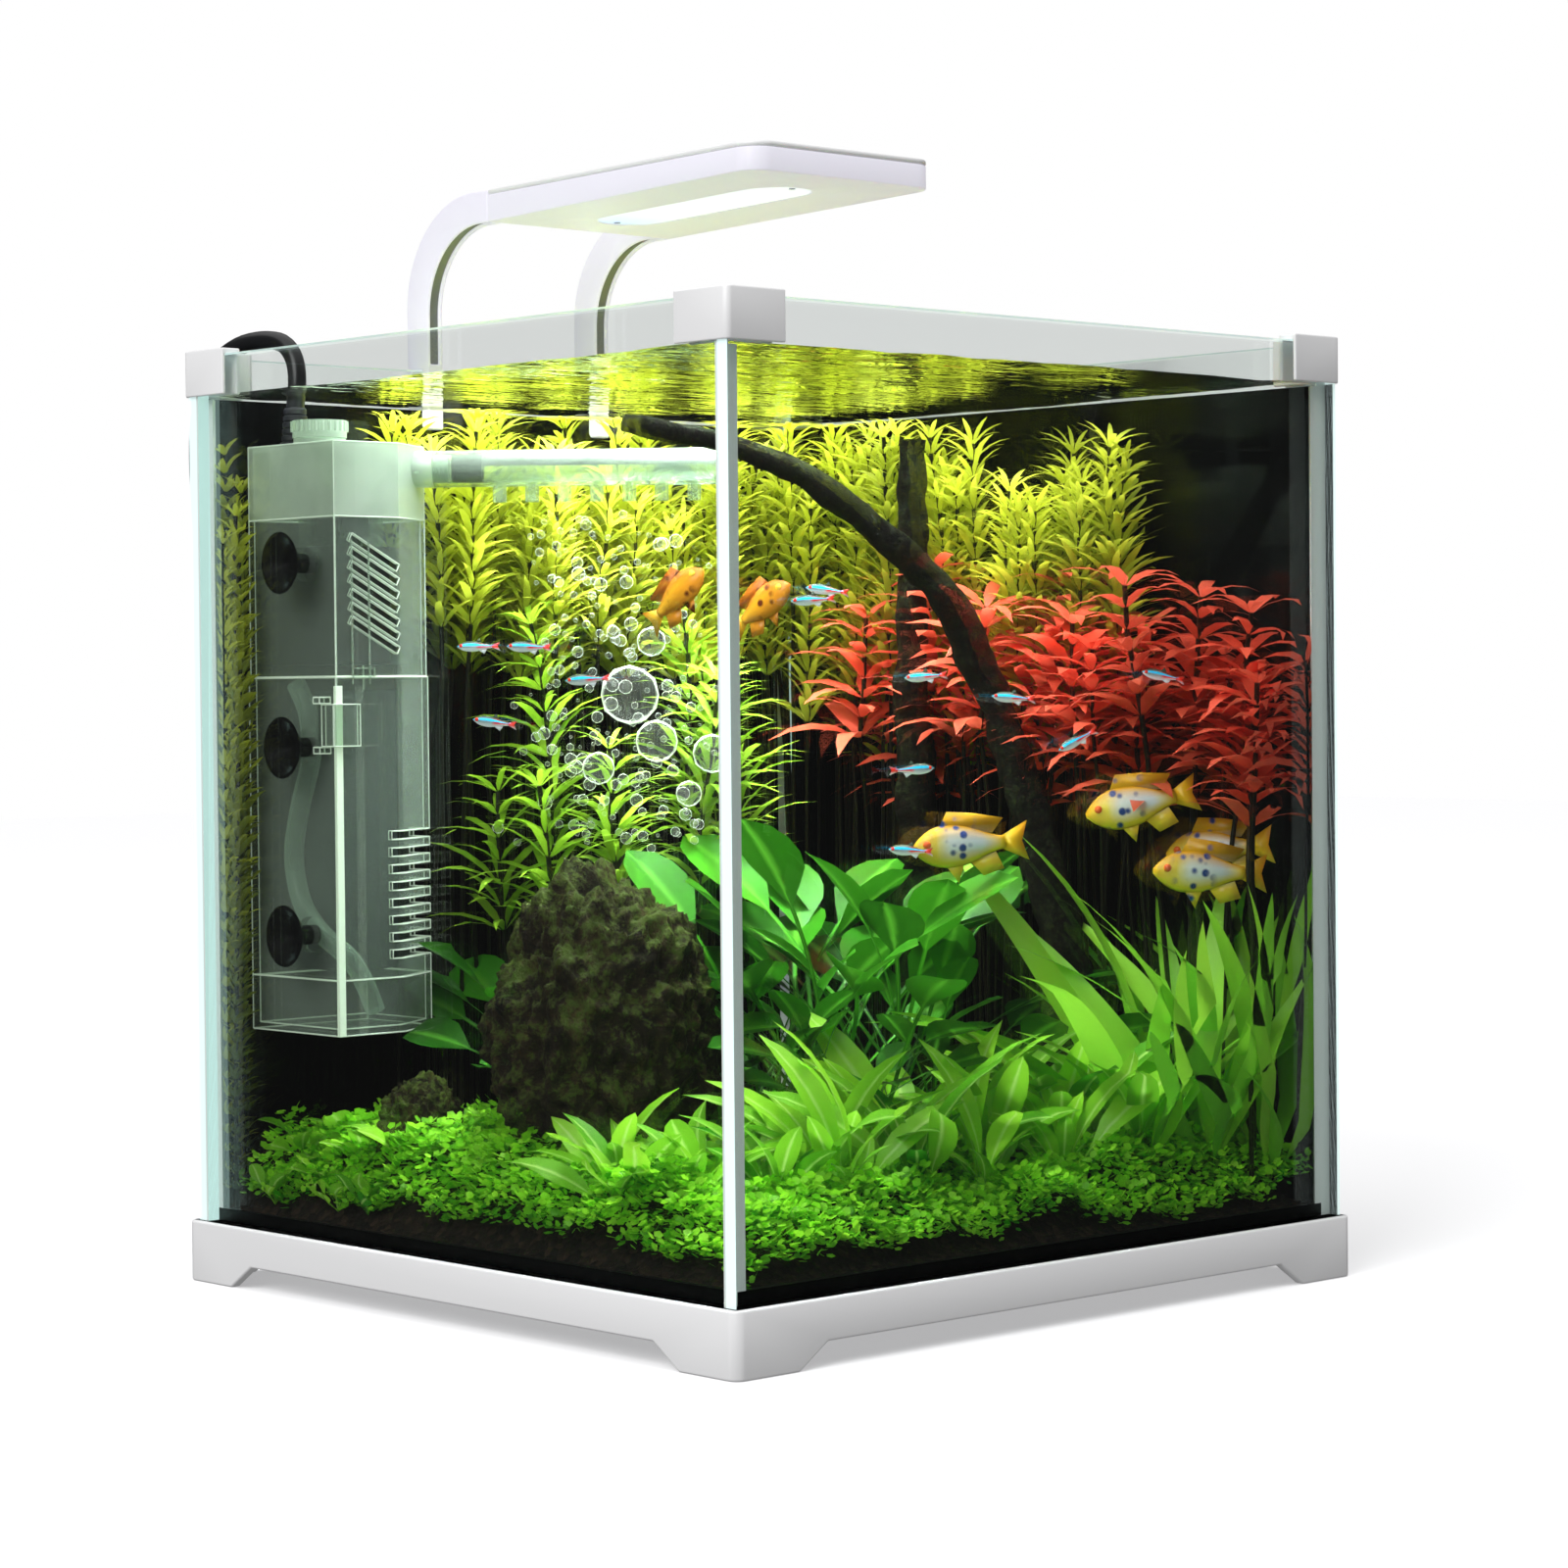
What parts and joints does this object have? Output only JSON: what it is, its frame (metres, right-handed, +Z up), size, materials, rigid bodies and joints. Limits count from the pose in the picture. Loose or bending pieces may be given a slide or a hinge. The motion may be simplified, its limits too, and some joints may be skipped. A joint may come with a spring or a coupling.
{
  "type": "aquarium",
  "caption": "Desktop glass cube aquarium on a white footed base, with a clip-on rim lamp, a corner filter with spray bar, and a planted hardscape bed.",
  "frame": {"origin": "on the floor, under the middle of the tank", "axes": "+Z up, -Y towards the front pane, +X to the right as seen from the front"},
  "size_m": [0.254, 0.3378, 0.3421],
  "materials": {
    "white_abs": "satin",
    "float_glass": "gloss",
    "clear_silicone": "satin",
    "black_eva_foam": "matte",
    "background_foil": "satin",
    "planted_soil": "matte",
    "lava_rock": "matte",
    "bog_wood": "matte",
    "lens_acrylic": "gloss",
    "led_board_laminate": "satin",
    "led_phosphor": "gloss",
    "stainless_steel": "satin",
    "grey_channel_tpe": "matte",
    "filter_san_clear": "gloss",
    "motor_epoxy": "satin",
    "shaft_ceramic": "gloss",
    "cup_rubber": "satin",
    "filter_foam": "matte",
    "clear_pvc_hose": "gloss",
    "black_pvc_cord": "satin",
    "nickel_brass": "polished"
  },
  "bodies": {
    "root": {"base_tray": "white_abs", "levelling_mat": "black_eva_foam", "glass_bottom": "float_glass", "glass_front": "float_glass", "glass_back": "float_glass", "glass_left": "float_glass", "glass_right": "float_glass", "silicone_vertical_seams": "clear_silicone", "silicone_bottom_seam": "clear_silicone", "corner_clip_front_left": "white_abs", "corner_clip_front_right": "white_abs", "corner_clip_back_left": "white_abs", "corner_clip_back_right": "white_abs", "background_film_back": "background_foil", "background_film_right": "background_foil", "soil_bed": "planted_soil", "lava_rock_large": "lava_rock", "lava_rock_small": "lava_rock", "driftwood_branch": "bog_wood", "driftwood_trunk": "bog_wood", "filter_head": "filter_san_clear", "pump_shell": "filter_san_clear", "pump_motor": "motor_epoxy", "pump_chamber": "filter_san_clear", "impeller_shaft": "shaft_ceramic", "knob_collar": "filter_san_clear", "outlet_nozzle": "filter_san_clear", "cord_gland": "black_pvc_cord", "suction_cup_upper": "cup_rubber", "pump_cord": "black_pvc_cord", "cord_coil": "black_pvc_cord", "cord_tie": "black_eva_foam", "plug_body": "black_pvc_cord", "plug_pins": "nickel_brass"},
    "lamp": {"lamp_housing": "white_abs", "lamp_top_cover": "white_abs", "led_board": "led_board_laminate", "led_chips": "led_phosphor", "led_lens": "lens_acrylic", "lens_screws": "stainless_steel", "lamp_dc_socket": "motor_epoxy", "lamp_arm_left": "white_abs", "lamp_arm_right": "white_abs", "arm_channel_strips": "grey_channel_tpe", "arm_rim_pads": "clear_silicone"},
    "air_knob": {"air_knob": "filter_san_clear"},
    "impeller": {"impeller": "motor_epoxy"},
    "spray_bar": {"spray_bar": "filter_san_clear", "spray_bar_end_cap": "filter_san_clear", "flow_regulator": "motor_epoxy"},
    "canister": {"canister_body": "filter_san_clear", "canister_floor": "filter_san_clear", "filter_sponge": "filter_foam", "air_hose": "clear_pvc_hose", "canister_rail": "filter_san_clear", "suction_cups_lower": "cup_rubber", "latch_pin": "stainless_steel"},
    "latch": {"canister_latch": "filter_san_clear"}
  },
  "joints": [
    {"name": "lamp_slide", "type": "slide", "parent": "root", "child": "lamp", "axis": [1, 0, 0], "range_m": [-0.04, 0.06]},
    {"name": "air_knob_turn", "type": "hinge", "parent": "root", "child": "air_knob", "pos_m": [-0.097, 0.094, 0.262], "axis": [0, 0, 1], "range_deg": [0, 270]},
    {"name": "impeller_spin", "type": "hinge", "parent": "root", "child": "impeller", "pos_m": [-0.088, 0.096, 0.22], "axis": [0, 0, 1], "continuous": true},
    {"name": "spray_bar_turn", "type": "hinge", "parent": "root", "child": "spray_bar", "pos_m": [-0.0663, 0.078, 0.2504], "axis": [0.7071, -0.7071, 0], "range_deg": [-60, 60]},
    {"name": "canister_release", "type": "slide", "parent": "root", "child": "canister", "axis": [0, 0, -1], "range_m": [0, 0.008]},
    {"name": "latch_open", "type": "hinge", "parent": "canister", "child": "latch", "pos_m": [-0.11085, 0.076, 0.1716], "axis": [0, 0, -1], "range_deg": [0, 8]}
  ]
}
